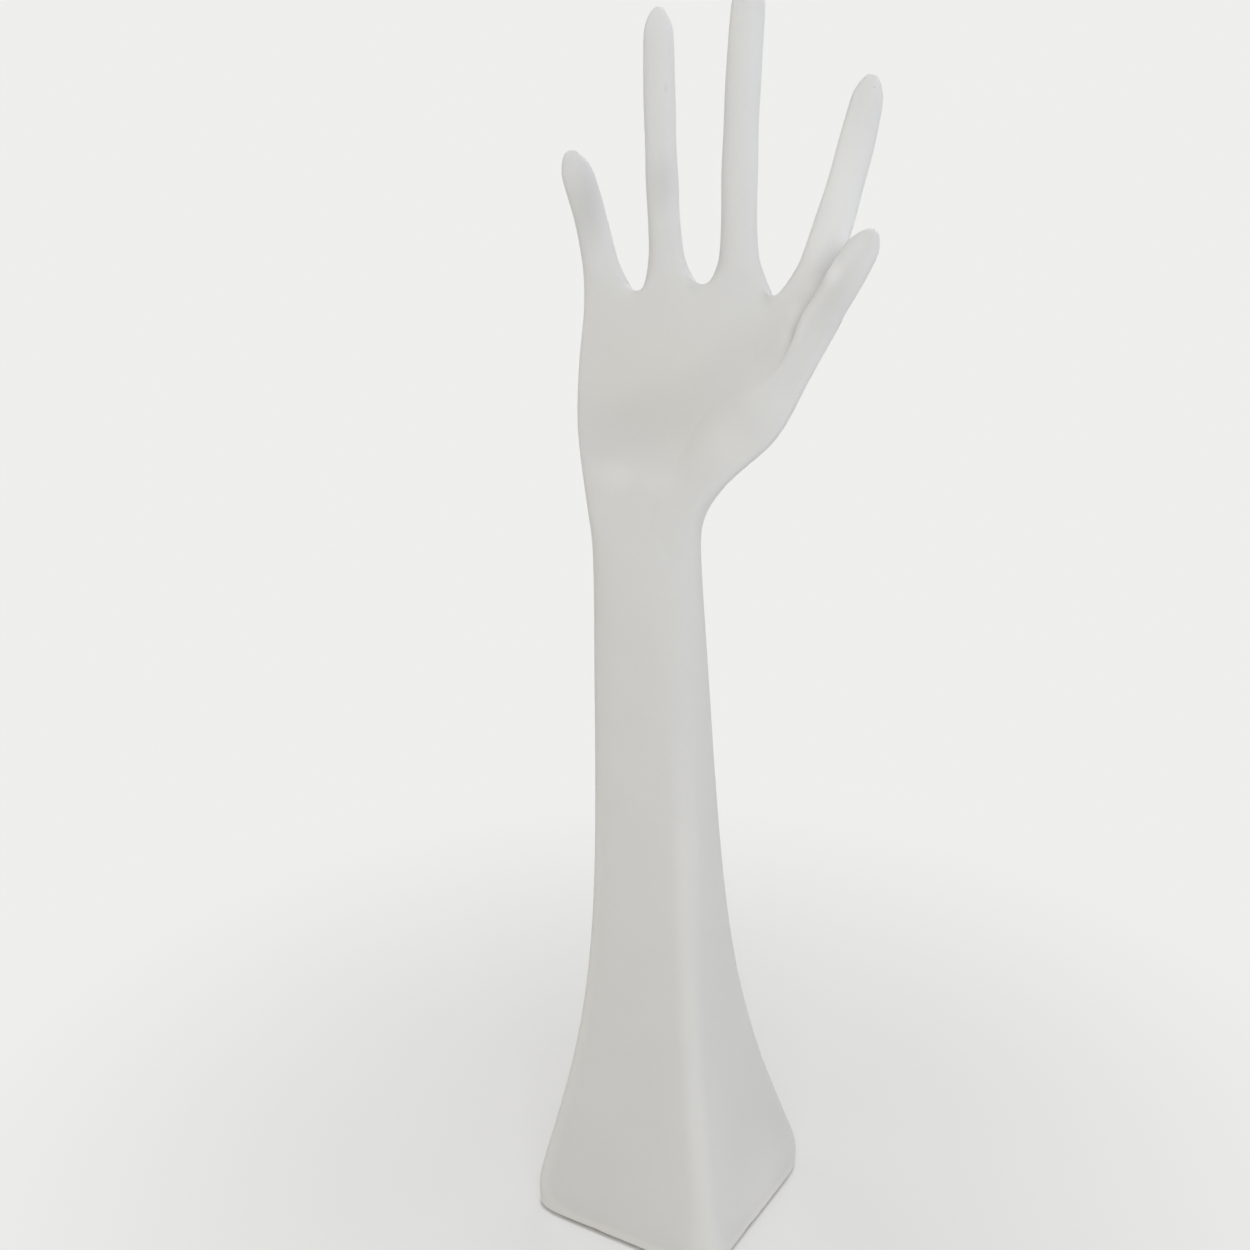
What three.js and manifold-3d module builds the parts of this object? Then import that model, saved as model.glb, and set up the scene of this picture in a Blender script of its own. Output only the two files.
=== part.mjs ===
// Jewelry stand in the form of an upright right hand, whose slim forearm flares into a rounded-square foot.
// Millimetres, +Z up. The origin is the middle of the foot, on the surface that the stand rests on.
// The palm looks towards -Y and the thumb is on the +X side.

import * as THREE from 'three';
import { mergeVertices } from 'three/addons/utils/BufferGeometryUtils.js';
import Module from 'manifold-3d';

const { lerp, smoothstep, degToRad } = THREE.MathUtils;

// Gap between neighbouring pieces.
const CLEARANCE = 0.3;

// Foot. A squareness is the exponent of an outline: 2 is an ellipse, larger is squarer.
const FOOT_WIDTH = 78.4;
const FOOT_DEPTH = 78.2;
const FOOT_SQUARENESS = 9;
const FOOT_EDGE = 9;

// Forearm, from the foot's upright edge to the wrist. Its axis leans and its section turns on the way up.
// FLARE_STRAIGHT is the share of the widening towards the foot that is a plain taper, and the rest dies
// away upwards with the ease and the power.
const FOREARM_LENGTH = 251;
const FLARE_STRAIGHT = 0.29;
const FLARE_EASE = 1.25;
const FLARE_POWER = 6;
const WRIST_WIDTH = 36.2;
const WRIST_DEPTH = 29;
const WRIST_SQUARENESS = 2.4;
const WRIST_SHIFT_X = -8.4;
const WRIST_SHIFT_Y = -5;
const HAND_TWIST = degToRad(12);

// Palm sections, each at its rise above the one below. little and thumb are the outer edges across the
// hand, half is half the thickness, and cup bends the thumb's edge forward. crest is where the ridge that
// leads up to the thumb lies across the hand, and step is how far it stands out of the palm.
const PALM_SECTIONS = [
  { rise: 15.5, little: -19.4, thumb: 18.9, half: 13.6, cup: 0, crest: 14, step: 0 },
  { rise: 14.5, little: -21.7, thumb: 27.4, half: 12.8, cup: 2, crest: 18, step: 0.3 },
  { rise: 14, little: -23.1, thumb: 40.6, half: 11.6, cup: 6, crest: 23, step: 1 },
  { rise: 13, little: -22.8, thumb: 49.4, half: 10.2, cup: 10, crest: 31, step: 2 },
  { rise: 13, little: -22.1, thumb: 54.8, half: 8.9, cup: 9, crest: 41.5, step: 3 },
  { rise: 11, little: -21.2, thumb: 57, half: 7.3, cup: 3.5, crest: 50, step: 5.5 },
];
const PALM_SQUARENESS = 2.5;
const KNUCKLE_SQUARENESS = 5;

// The ridge's wall towards the palm, and the share of the section's half width over which it falls off on
// the thumb's side.
const WALL_WIDTH = 7;
const RIDGE_SPAN = 0.13;

// Soft forms of the palm: how far each reaches from a plain oval section, at which height above the wrist
// it is strongest, and how far up and down from there it fades. across and span are the hollow's middle and
// width, as shares of the section's half width.
const HOLLOW = { depth: 5.5, height: 36, fade: 18, across: -0.2, span: 0.75 };
const LITTLE_CUP = { depth: 1, height: 57, fade: 25 };

// Heights above the last section of the palm's upper corner by the little finger, of the three webs
// between the fingers, and of the upper corner by the index. The webs slope down from the palm to the back
// of the hand: WEB_TILT is the difference between their middle and either edge.
const WEB_HEIGHTS = [9, 9.8, 13.2, 12.4, 10];
const WEB_WIDTH = 3.2;
const WEB_FADE = 5.3;
const WEB_TILT = 2.5;

// Fingers, from the little finger to the index. spread is how far the root widens on the little-finger and
// the thumb side, reach runs from the root to the tip, and bow is how far the middle of the centre line
// stands off the straight one, across and in depth. ROOT_FORWARD is how far each root stands forward.
const FINGERS = [
  { name: 'little', width: 10.4, tipWidth: 9.8, spread: [0, 6], reach: [-6.8, -10, 45.2], bow: [2.5, -1] },
  { name: 'ring', width: 10, tipWidth: 9, spread: [3.2, 5.2], reach: [-2, -6, 86], bow: [0.3, -3.5] },
  { name: 'middle', width: 11, tipWidth: 10, spread: [4.4, 5], reach: [0.3, 3, 94], bow: [0, -5] },
  { name: 'index', width: 12.6, tipWidth: 9.6, spread: [2.6, 0.8], reach: [13.3, 18, 67], bow: [1.3, -0.5] },
];
const ROOT_FORWARD = [0, 0, 0, 4];
const FINGER_DEPTH_SHARE = 0.97;
const JOINT_SWELL = 0.25;
const JOINT_SHARES = [0.4, 0.7];
const JOINT_SPAN = 0.09;
const TIP_LENGTH = 10;

// Roots of the fingers: their depth, and how far out their corners lie across, in depth beside a web and in
// depth on the little finger's outer side.
const ROOT_DEPTH = 12.4;
const ROOT_CORNER = 0.8;
const WEB_CORNER = 0.86;
const OUTER_CORNER = 0.6;

// Thumb. Its centre line starts inside the palm, set in from the thumb's edge and from the front of the
// section in the middle of its root, and it comes free of the palm at its first rings. One corner of its
// section is drawn out by the crest, a share of the radius that fades towards the tip, and carries on the
// palm's ridge. THUMB_SIDEWAYS is the way across the section.
const THUMB = { name: 'thumb', width: 10.6, tipWidth: 10, spread: [0, 0] };
const THUMB_CREST = 0.3;
const THUMB_CREST_FADE = 0.5;
const THUMB_SIDEWAYS = [0.4, 1, 0];
const THUMB_INSET = [-8, -12, -7];
const THUMB_REACH = [28.9, -9, 57];
const THUMB_BOW = [-0.5, -0.5];
const THUMB_RINGS = [28, 36];

// Pieces under the foot. The weight stands on a plate that is let into the foot and bears on a ledge.
const PAD_THICKNESS = 1.5;
const PAD_INSET = 3.5;
const PLATE_THICKNESS = 3;
const PLATE_INSET = 8;
const PLATE_LEDGE = 7.5;
const BALLAST_HEIGHT = 28;

// Wires cast into the fingers. They run up the forearm in a round bundle with a wall of resin between them,
// and above the wrist bend towards their fingers and the back of the hand.
const WIRE_DIAMETER = 3;
const WIRE_WALL = 4;
const WIRE_COVER = 8;
const WIRE_BEND_HEIGHT = 25;
const WIRE_BEND_SHARE = 0.2;
const WIRE_BEND_BACK = 3.5;

// Fineness of the model.
const FOREARM_RINGS = 10;
const FOREARM_RING_EASE = 1.4;
const SPACING_SQUARENESS = 3.2;
const ROOT_RINGS = [8, 14];
const RING_PITCH = 11;
const TIP_RINGS = [0.55, 0.9];
const INTERPOLATION_ROUNDS = 4;
const WIRE_STEPS = 20;
const WIRE_SIDES = 8;

// Finish of the pieces.
const RESIN = { color: 0xe9e8e5, roughness: 0.7, metalness: 0 };
const STEEL = { color: 0x9a9a98, roughness: 0.4, metalness: 1 };
const IRON = { color: 0x4c4a48, roughness: 0.75, metalness: 0.9 };
const BOARD = { color: 0x8a7355, roughness: 0.9, metalness: 0 };
const FELT = { color: 0x2e2e30, roughness: 1, metalness: 0 };

// Levels that follow from the sizes above.
const UNDERSIDE = PAD_THICKNESS + CLEARANCE;
const FLARE_START = UNDERSIDE + FOOT_EDGE;
const WRIST_LEVEL = FLARE_START + FOREARM_LENGTH;
const PLATE_TOP = UNDERSIDE + PLATE_THICKNESS;
const BALLAST_INSET = PLATE_INSET + PLATE_LEDGE;
const BALLAST_BOTTOM = PLATE_TOP + CLEARANCE;
const BALLAST_TOP = BALLAST_BOTTOM + BALLAST_HEIGHT;
const POCKET_TOP = BALLAST_TOP + CLEARANCE;

// A ring of the forearm and palm has 26 points: the little finger's edge, 12 across the front, the thumb's
// edge and 12 back across. Three of each 12 belong to a finger.
const COLUMNS = 3 * FINGERS.length;
const RING = 2 * COLUMNS + 2;
const THUMB_EDGE = COLUMNS + 1;
const RIDGE_COLUMN = COLUMNS - 1;
const behind = (column) => RING - column;
const ringAngle = (k) => Math.PI + (2 * Math.PI * k) / RING;

const signedPower = (value, power) => Math.sign(value) * Math.abs(value) ** power;
const gauss = (distance, span) => Math.exp(-((distance / span) ** 2));

// Point of a superellipse at an angle parameter.
function outlinePoint(angle, halfWidth, halfDepth, squareness) {
  const x = halfWidth * signedPower(Math.cos(angle), 2 / squareness);
  const y = halfDepth * signedPower(Math.sin(angle), 2 / squareness);
  return new THREE.Vector2(x, y);
}

// A place on a section of the leaning, turning forearm, 0 at the foot's edge and 1 at the wrist.
function onForearm(x, y, level, share) {
  const place = new THREE.Vector2(x, y).rotateAround(new THREE.Vector2(), HAND_TWIST * share ** 2);
  return new THREE.Vector3(place.x + WRIST_SHIFT_X * share, place.y + WRIST_SHIFT_Y * share, level);
}

// A place and a direction in the hand's own frame, which stands on the wrist.
const inHand = (x, y, z) => onForearm(x, y, WRIST_LEVEL + z, 1);
const handVector = (x, y, z) => inHand(x, y, z).sub(inHand(0, 0, 0));

// Quad cage of the hand

const cage = { points: [], quads: [] };

function addPoint(point) {
  cage.points.push(point);
  return cage.points.length - 1;
}

function addQuad(...corners) {
  cage.quads.push(corners);
}

// Joins two closed rings of equal count, except where skip says that a quad is left open.
function joinRings(lower, upper, skip = () => false) {
  lower.forEach((point, k) => {
    const next = (k + 1) % lower.length;
    if (!skip(k)) {
      addQuad(point, lower[next], upper[next], upper[k]);
    }
  });
}

// Section of the forearm. Where it is squarer than SPACING_SQUARENESS, its points keep the directions that they
// have on that outline, so that they don't crowd at the corners.
function forearmRing(share, level) {
  const flare = lerp((1 - share ** FLARE_EASE) ** FLARE_POWER, 1 - share, FLARE_STRAIGHT);
  const halfWidth = lerp(WRIST_WIDTH, FOOT_WIDTH, flare) / 2;
  const halfDepth = lerp(WRIST_DEPTH, FOOT_DEPTH, flare) / 2;
  const squareness = lerp(WRIST_SQUARENESS, FOOT_SQUARENESS, flare);
  return Array.from({ length: RING }, (_, k) => {
    const spacing = Math.min(squareness, SPACING_SQUARENESS);
    const { x, y } = outlinePoint(ringAngle(k), halfWidth, halfDepth, spacing);
    const power = Math.abs(x / halfWidth) ** squareness + Math.abs(y / halfDepth) ** squareness;
    const scale = power ** (-1 / squareness);
    return addPoint(onForearm(scale * x, scale * y, level, share));
  });
}

// Half the width of a finger's root on one side, -1 towards the little finger and 1 towards the thumb.
const rootHalf = (finger, side) => finger.width / 2 + finger.spread[side < 0 ? 0 : 1];

// Places of the finger roots across the hand: they start at the little finger's edge, a web apart.
const palmLeft = PALM_SECTIONS.at(-1).little;
const rootAcross = [];
FINGERS.forEach((finger, k) => {
  const edge = k ? rootAcross[k - 1] + rootHalf(FINGERS[k - 1], 1) + WEB_WIDTH : palmLeft;
  rootAcross.push(edge + rootHalf(finger, -1));
});
const palmRight = rootAcross.at(-1) + rootHalf(FINGERS.at(-1), 1);

const palmHeights = [];
PALM_SECTIONS.forEach((section, k) => palmHeights.push(section.rise + (k ? palmHeights[k - 1] : 0)));
const webHeight = (edge) => palmHeights.at(-1) + WEB_HEIGHTS[edge];
const rootHeight = (k) => (webHeight(k) + webHeight(k + 1)) / 2;

// Share across the hand, from -1 to 1, of a column: an even spread at the wrist that moves to the fingers'
// own places at their roots.
function columnShare(column, height) {
  const k = Math.floor((column - 1) / 3);
  const side = ((column - 1) % 3) - 1;
  const place = rootAcross[k] + side * ROOT_CORNER * rootHalf(FINGERS[k], side);
  const atRoot = (2 * place - palmLeft - palmRight) / (palmRight - palmLeft);
  const atWrist = signedPower(Math.cos(ringAngle(column)), 2 / WRIST_SQUARENESS);
  return lerp(atWrist, atRoot, smoothstep(height, 0, webHeight(0)));
}

// Section of the palm. In front its columns are gathered so that one runs along the foot of the ridge's wall
// and the next along the crest.
function palmRing(section, k) {
  const height = palmHeights[k];
  const middle = (section.little + section.thumb) / 2;
  const reach = (section.thumb - section.little) / 2;
  const strength = (form) => form.depth * gauss(height - form.height, form.fade);
  const cup = (share) => -share * share * (share < 0 ? strength(LITTLE_CUP) : section.cup);
  const squareness = lerp(PALM_SQUARENESS, KNUCKLE_SQUARENESS, height / palmHeights.at(-1));
  const thickness = (share) => section.half * (1 - Math.abs(share) ** squareness) ** (1 / squareness);
  const crest = (section.crest - middle) / reach;
  const wallFoot = crest - WALL_WIDTH / reach;
  const gathered = (column) => {
    const even = columnShare(column, height);
    const [atFoot, atCrest] = [RIDGE_COLUMN - 1, RIDGE_COLUMN].map((side) => columnShare(side, height));
    if (column < RIDGE_COLUMN) {
      return even > 0 ? (even / atFoot) * wallFoot : even;
    }
    return lerp(crest, 1, (even - atCrest) / (1 - atCrest));
  };
  const ridge = (share) => (
    share < crest ? smoothstep(share, wallFoot, crest) : gauss(share - crest, RIDGE_SPAN)
  );
  const relief = (share) => (
    strength(HOLLOW) * gauss(share - HOLLOW.across, HOLLOW.span) - section.step * ridge(share)
  );
  const place = (share, y) => addPoint(inHand(middle + reach * share, cup(share) + y, height));
  const ring = new Array(RING);
  ring[0] = place(-1, 0);
  ring[THUMB_EDGE] = place(1, 0);
  for (let column = 1; column <= COLUMNS; column++) {
    const back = columnShare(column, height);
    const front = gathered(column);
    ring[column] = place(front, relief(front) - thickness(front));
    ring[behind(column)] = place(back, thickness(back));
  }
  return ring;
}

// The eight points of a finger's ring, from its front corner on the little-finger side round by the thumb:
// the side that each is on, -1 or 1 across and in depth, or 0 midway.
const FINGER_SIDES = [[-1, -1], [0, -1], [1, -1], [1, 0], [1, 1], [0, 1], [-1, 1], [-1, 0]];

// Root ring of a finger, level with the webs on either side of it.
function rootRing(finger, k) {
  return FINGER_SIDES.map(([sideX, sideY]) => {
    const edge = sideX < 0 ? k : k + 1;
    const outer = edge === 0;
    const cornerX = sideY ? ROOT_CORNER : 1;
    const cornerY = sideX ? (outer ? OUTER_CORNER : WEB_CORNER) : 1;
    const x = rootAcross[k] + sideX * cornerX * rootHalf(finger, sideX);
    const y = (sideY * cornerY * ROOT_DEPTH) / 2 - ROOT_FORWARD[k];
    const height = sideX ? webHeight(edge) : rootHeight(k);
    const tilt = outer ? 0 : sideY * WEB_TILT;
    return addPoint(inHand(x, y, height - tilt));
  });
}

// Curve from root to tip, with its middle set off by the bow.
function centreLine(root, reach, bow) {
  const tip = root.clone().add(handVector(...reach));
  const control = root.clone().add(tip).multiplyScalar(0.5).addScaledVector(handVector(...bow, 0), 2);
  return new THREE.QuadraticBezierCurve3(root, control, tip);
}

// Carries a root ring up a centre line to a rounded tip. starts are the distances of the first rings, and
// sideways is the way from the ring's first side to its second.
function growFinger(finger, root, line, sideways, starts) {
  const length = line.getLength();
  const shaft = length - TIP_LENGTH;
  let last = root;
  const grow = (distance, taper) => {
    const share = distance / length;
    const joints = JOINT_SHARES.reduce((sum, joint) => sum + gauss(share - joint, JOINT_SPAN), 0);
    const half = taper * (lerp(finger.width, finger.tipWidth, share) / 2 + JOINT_SWELL * joints);
    const web = Math.exp((WEB_TILT - distance) / WEB_FADE);
    const halfDepth = lerp(half * FINGER_DEPTH_SHARE, ROOT_DEPTH / 2, web);
    const tangent = line.getTangentAt(share);
    const axisX = sideways.clone().addScaledVector(tangent, -sideways.dot(tangent)).normalize();
    const axisY = tangent.clone().cross(axisX);
    const thumbCrest = THUMB_CREST * taper * (1 - THUMB_CREST_FADE * share);
    const next = FINGER_SIDES.map(([sideX, sideY]) => {
      const crest = finger === THUMB && sideX < 0 && sideY > 0 ? thumbCrest : 0;
      const radius = (1 + crest) / Math.hypot(sideX, sideY);
      const halfWidth = half + web * finger.spread[sideX < 0 ? 0 : 1];
      const point = line.getPointAt(share).addScaledVector(axisX, sideX * radius * halfWidth);
      point.addScaledVector(tangent, -sideY * WEB_TILT * web);
      return addPoint(point.addScaledVector(axisY, sideY * radius * halfDepth));
    });
    joinRings(last, next);
    last = next;
  };
  starts.forEach((distance) => grow(distance, 1));
  const first = starts.at(-1);
  const count = Math.max(2, Math.round((shaft - first) / RING_PITCH));
  for (let k = 1; k <= count; k++) {
    grow(lerp(first, shaft, k / count), 1);
  }
  TIP_RINGS.forEach((share) => grow(shaft + share * TIP_LENGTH, Math.sqrt(1 - share * share)));
  const cap = addPoint(line.getPointAt(1));
  for (let corner = 0; corner < last.length; corner += 2) {
    addQuad(last.at(corner - 1), last[corner], last[corner + 1], cap);
  }
}

// Foot and forearm
let below = forearmRing(0, UNDERSIDE);
for (let k = 0; k <= FOREARM_RINGS; k++) {
  const share = (k / FOREARM_RINGS) ** FOREARM_RING_EASE;
  const ring = forearmRing(share, FLARE_START + FOREARM_LENGTH * share);
  joinRings(below, ring);
  below = ring;
}

// Palm, up to the finger roots, with the four quads left open that the thumb grows from
const palmRings = [below, ...PALM_SECTIONS.map(palmRing)];
const fingerRoots = FINGERS.map(rootRing);
const topRing = new Array(RING);
topRing[0] = fingerRoots[0][7];
topRing[THUMB_EDGE] = fingerRoots.at(-1)[3];
fingerRoots.forEach((root, k) => {
  for (let part = 0; part < 3; part++) {
    const column = 3 * k + 1 + part;
    topRing[column] = root[part];
    topRing[behind(column)] = root[6 - part];
  }
});
palmRings.push(topRing);
const thumbRow = PALM_SECTIONS.length - 2;
palmRings.slice(1).forEach((ring, row) => {
  const thumbRows = row === thumbRow || row === thumbRow + 1;
  joinRings(palmRings[row], ring, (k) => thumbRows && k >= RIDGE_COLUMN && k < THUMB_EDGE);
});

// Webs between the fingers
fingerRoots.slice(1).forEach((right, k) => {
  const left = fingerRoots[k];
  addQuad(left[2], right[0], right[7], left[3]);
  addQuad(left[3], right[7], right[6], left[4]);
});

// Fingers and thumb
const fingerLines = FINGERS.map((finger, k) => (
  centreLine(inHand(rootAcross[k], -ROOT_FORWARD[k], rootHeight(k)), finger.reach, finger.bow)
));
FINGERS.forEach((finger, k) => {
  growFinger(finger, fingerRoots[k], fingerLines[k], handVector(1, 0, 0), ROOT_RINGS);
});
const thumbRoot = FINGER_SIDES.map(([side, up]) => palmRings[thumbRow + 1 + up][THUMB_EDGE - 1 + side]);
const [insetX, insetY, insetZ] = THUMB_INSET;
const thumbStart = inHand(PALM_SECTIONS[thumbRow].thumb + insetX, insetY, palmHeights[thumbRow] + insetZ);
const thumbLine = centreLine(thumbStart, THUMB_REACH, THUMB_BOW);
growFinger(THUMB, thumbRoot, thumbLine, handVector(...THUMB_SIDEWAYS), THUMB_RINGS);

// Smooth surface through the cage's points

const edgeKey = (a, b) => (a < b ? `${a}/${b}` : `${b}/${a}`);
const mean = (list) => list.reduce((sum, p) => sum.add(p), new THREE.Vector3()).divideScalar(list.length);

// The mesh's edges with the quads on them, and for each point the quads around it, as the next, the
// opposite and the previous corner, and its neighbours along the open border.
function connections(mesh) {
  const edges = new Map();
  const around = mesh.points.map(() => ({ quads: [], border: [] }));
  mesh.quads.forEach((quad, face) => quad.forEach((point, k) => {
    const [next, opposite, previous] = [1, 2, 3].map((step) => quad[(k + step) % 4]);
    around[point].quads.push({ next, opposite, previous });
    const key = edgeKey(point, next);
    const edge = edges.get(key) ?? { ends: [point, next], faces: [] };
    edge.faces.push(face);
    edges.set(key, edge);
  }));
  edges.forEach(({ ends: [from, to], faces }) => {
    if (faces.length === 1) {
      around[from].border.push(to);
      around[to].border.push(from);
    }
  });
  return { edges, around };
}

// Where each point ends up when the mesh is subdivided without end.
function limitPoints(mesh, { around }) {
  return mesh.points.map((point, k) => {
    const { quads, border } = around[k];
    const sum = new THREE.Vector3();
    if (border.length) {
      border.forEach((other) => sum.add(mesh.points[other]));
      return sum.addScaledVector(point, 4).divideScalar(6);
    }
    quads.forEach(({ next, opposite, previous }) => {
      sum.addScaledVector(mesh.points[next], 2).addScaledVector(mesh.points[previous], 2);
      sum.add(mesh.points[opposite]);
    });
    const count = quads.length;
    return sum.addScaledVector(point, count * count).divideScalar(count * (count + 5));
  });
}

// Shifts the points until the smooth surface passes through where they were.
function passThrough(mesh) {
  const links = connections(mesh);
  const wanted = mesh.points.map((point) => point.clone());
  for (let round = 0; round < INTERPOLATION_ROUNDS; round++) {
    const limit = limitPoints(mesh, links);
    mesh.points.forEach((point, k) => point.add(wanted[k]).sub(limit[k]));
  }
}

// One step of Catmull-Clark subdivision.
function subdivide(mesh) {
  const { edges, around } = connections(mesh);
  const at = (k) => mesh.points[k];
  const middles = mesh.quads.map((quad) => mean(quad.map(at)));
  const points = mesh.points.map((point, k) => {
    const { quads, border } = around[k];
    if (border.length) {
      return mean(border.map(at)).addScaledVector(point, 3).divideScalar(4);
    }
    const sum = new THREE.Vector3();
    quads.forEach(({ next, opposite, previous }) => {
      sum.add(mean([point, at(next), at(opposite), at(previous)])).add(at(next)).add(point);
    });
    const count = quads.length;
    return sum.divideScalar(count).addScaledVector(point, count - 3).divideScalar(count);
  });
  const firstMiddle = points.length;
  points.push(...middles);
  edges.forEach((edge) => {
    const ends = edge.ends.map(at);
    edge.point = points.length;
    points.push(mean(edge.faces.length === 2 ? [...ends, ...edge.faces.map((face) => middles[face])] : ends));
  });
  const edgePoint = (a, b) => edges.get(edgeKey(a, b)).point;
  const quads = mesh.quads.flatMap((quad, face) => quad.map((point, k) => [
    point,
    edgePoint(point, quad[(k + 1) % 4]),
    firstMiddle + face,
    edgePoint(quad.at(k - 1), point),
  ]));
  return { points, quads };
}

// Triangles of the mesh, with its open border under the foot closed by a flat fan.
function closedGeometry(mesh) {
  const points = mesh.points.slice();
  const triangles = mesh.quads.flatMap(([a, b, c, d]) => {
    const short = points[a].distanceTo(points[c]) <= points[b].distanceTo(points[d]);
    return short ? [a, b, c, a, c, d] : [a, b, d, b, c, d];
  });
  const hub = points.length;
  points.push(new THREE.Vector3(0, 0, UNDERSIDE));
  connections(mesh).edges.forEach(({ ends: [from, to], faces }) => {
    if (faces.length === 1) {
      triangles.push(to, from, hub);
    }
  });
  return new THREE.BufferGeometry().setFromPoints(points).setIndex(triangles);
}

function handSkin() {
  passThrough(cage);
  const fine = subdivide(cage);
  return closedGeometry({ points: limitPoints(fine, connections(fine)), quads: fine.quads });
}

// Flat pieces with the foot's outline

function slab(inset, bottom, top) {
  const count = 2 * RING;
  const outline = Array.from({ length: count }, (_, k) => (
    outlinePoint((2 * Math.PI * k) / count, FOOT_WIDTH / 2 - inset, FOOT_DEPTH / 2 - inset, FOOT_SQUARENESS)
  ));
  const options = { depth: top - bottom, bevelEnabled: false };
  return new THREE.ExtrudeGeometry(new THREE.Shape(outline), options).translate(0, 0, bottom);
}

// Wires and their bores

// A path from point to point, so that a wire and its bore share the same bends.
class Route extends THREE.Curve {
  constructor(points) {
    super();
    this.points = points;
  }

  getPoint(t, target = new THREE.Vector3()) {
    const place = t * (this.points.length - 1);
    const k = Math.min(Math.floor(place), this.points.length - 2);
    return target.lerpVectors(this.points[k], this.points[k + 1], place - k);
  }

  getPointAt(t, target) {
    return this.getPoint(t, target);
  }

  getTangentAt(t, target) {
    return this.getTangent(t, target);
  }
}

const wireLines = { [THUMB.name]: thumbLine };
FINGERS.forEach((finger, k) => {
  wireLines[finger.name] = fingerLines[k];
});

// The wires' order round the bundle, in which none crosses another on the way to its finger.
const wireNames = ['little', 'ring', 'thumb', 'index', 'middle'];

// Points of a wire from the pocket under the foot up the forearm to just under a fingertip.
function wirePoints(name, slot) {
  const line = wireLines[name];
  const length = line.getLength();
  const step = (2 * Math.PI) / wireNames.length;
  const radius = (WIRE_DIAMETER + 2 * CLEARANCE + WIRE_WALL) / (2 * Math.sin(step / 2));
  const x = -radius * Math.cos(slot * step);
  const y = -radius * Math.sin(slot * step);
  const start = POCKET_TOP + CLEARANCE;
  const wrist = inHand(x, y, 0);
  const root = line.getPointAt(0);
  const bend = wrist.clone().lerp(root, WIRE_BEND_SHARE).setZ(WRIST_LEVEL + WIRE_BEND_HEIGHT);
  bend.add(handVector(0, WIRE_BEND_BACK, 0));
  const along = [1 / 3, 2 / 3, 1].map((share) => line.getPointAt((share * (length - WIRE_COVER)) / length));
  const curve = new THREE.CatmullRomCurve3([
    onForearm(x, y, start, (start - FLARE_START) / FOREARM_LENGTH),
    onForearm(x, y, FLARE_START + FOREARM_LENGTH / 2, 0.5),
    wrist,
    bend,
    root,
    ...along,
  ]);
  return curve.getSpacedPoints(WIRE_STEPS);
}

// The wire's points with both ends drawn out, so that the bore opens into the pocket and clears the tip.
function borePoints(points) {
  const beyond = (end, inner, distance) => (
    end.clone().addScaledVector(end.clone().sub(inner).normalize(), distance)
  );
  const start = beyond(points[0], points[1], 3 * CLEARANCE);
  const end = beyond(points.at(-1), points.at(-2), CLEARANCE);
  return [start, ...points.slice(1, -1), end];
}

function tube(points, radius) {
  const section = new THREE.Shape().absarc(0, 0, radius, 0, 2 * Math.PI);
  return new THREE.ExtrudeGeometry(section, {
    steps: points.length - 1,
    curveSegments: WIRE_SIDES / 2,
    extrudePath: new Route(points),
  });
}

const wires = wireNames.map((name, slot) => ({ name: `${name}_wire`, points: wirePoints(name, slot) }));

// Joins and cuts

const wasm = await Module();
wasm.setup();

function solid(geometry) {
  const bare = geometry.clone();
  bare.deleteAttribute('normal');
  bare.deleteAttribute('uv');
  const merged = mergeVertices(bare);
  return new wasm.Manifold(new wasm.Mesh({
    numProp: 3,
    vertProperties: new Float32Array(merged.attributes.position.array),
    triVerts: new Uint32Array(merged.index.array),
  }));
}

function geometryOf(body) {
  const mesh = body.getMesh();
  const geometry = new THREE.BufferGeometry();
  geometry.setAttribute('position', new THREE.BufferAttribute(new Float32Array(mesh.vertProperties), 3));
  geometry.setIndex(new THREE.BufferAttribute(new Uint32Array(mesh.triVerts), 1));
  return geometry;
}

// The hand with the rebate for the plate, the pocket for the weight and the bores of the wires.
function handCasting() {
  const rebate = slab(PLATE_INSET - CLEARANCE, 0, PLATE_TOP + CLEARANCE);
  const pocket = slab(BALLAST_INSET - CLEARANCE, 0, POCKET_TOP);
  const bores = wires.map((wire) => tube(borePoints(wire.points), WIRE_DIAMETER / 2 + CLEARANCE));
  const cut = (body, tool) => body.subtract(solid(tool));
  return geometryOf([rebate, pocket, ...bores].reduce(cut, solid(handSkin())));
}

// Assembly

const stand = new THREE.Group();

function addPiece(name, geometry, finish) {
  geometry.computeVertexNormals();
  const mesh = new THREE.Mesh(geometry, new THREE.MeshStandardMaterial(finish));
  mesh.name = name;
  stand.add(mesh);
}

addPiece('hand_casting', handCasting(), RESIN);
addPiece('felt_pad', slab(PAD_INSET, 0, PAD_THICKNESS), FELT);
addPiece('base_plate', slab(PLATE_INSET, UNDERSIDE, PLATE_TOP), BOARD);
addPiece('ballast_weight', slab(BALLAST_INSET, BALLAST_BOTTOM, BALLAST_TOP), IRON);
wires.forEach((wire) => addPiece(wire.name, tube(wire.points, WIRE_DIAMETER / 2), STEEL));

export default stand;
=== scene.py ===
"""Looks of a white, hand-shaped jewelry stand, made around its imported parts.

Lengths are in metres, in the parts' own frame: +Z is up, the palm looks towards -Y and the thumb is on +X.
"""

import logging
import math
from collections.abc import Mapping, Sequence
from dataclasses import dataclass
from enum import Enum
from typing import Any

import bmesh
import bpy
import numpy as np
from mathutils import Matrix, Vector, noise
from mathutils.bvhtree import BVHTree


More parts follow.
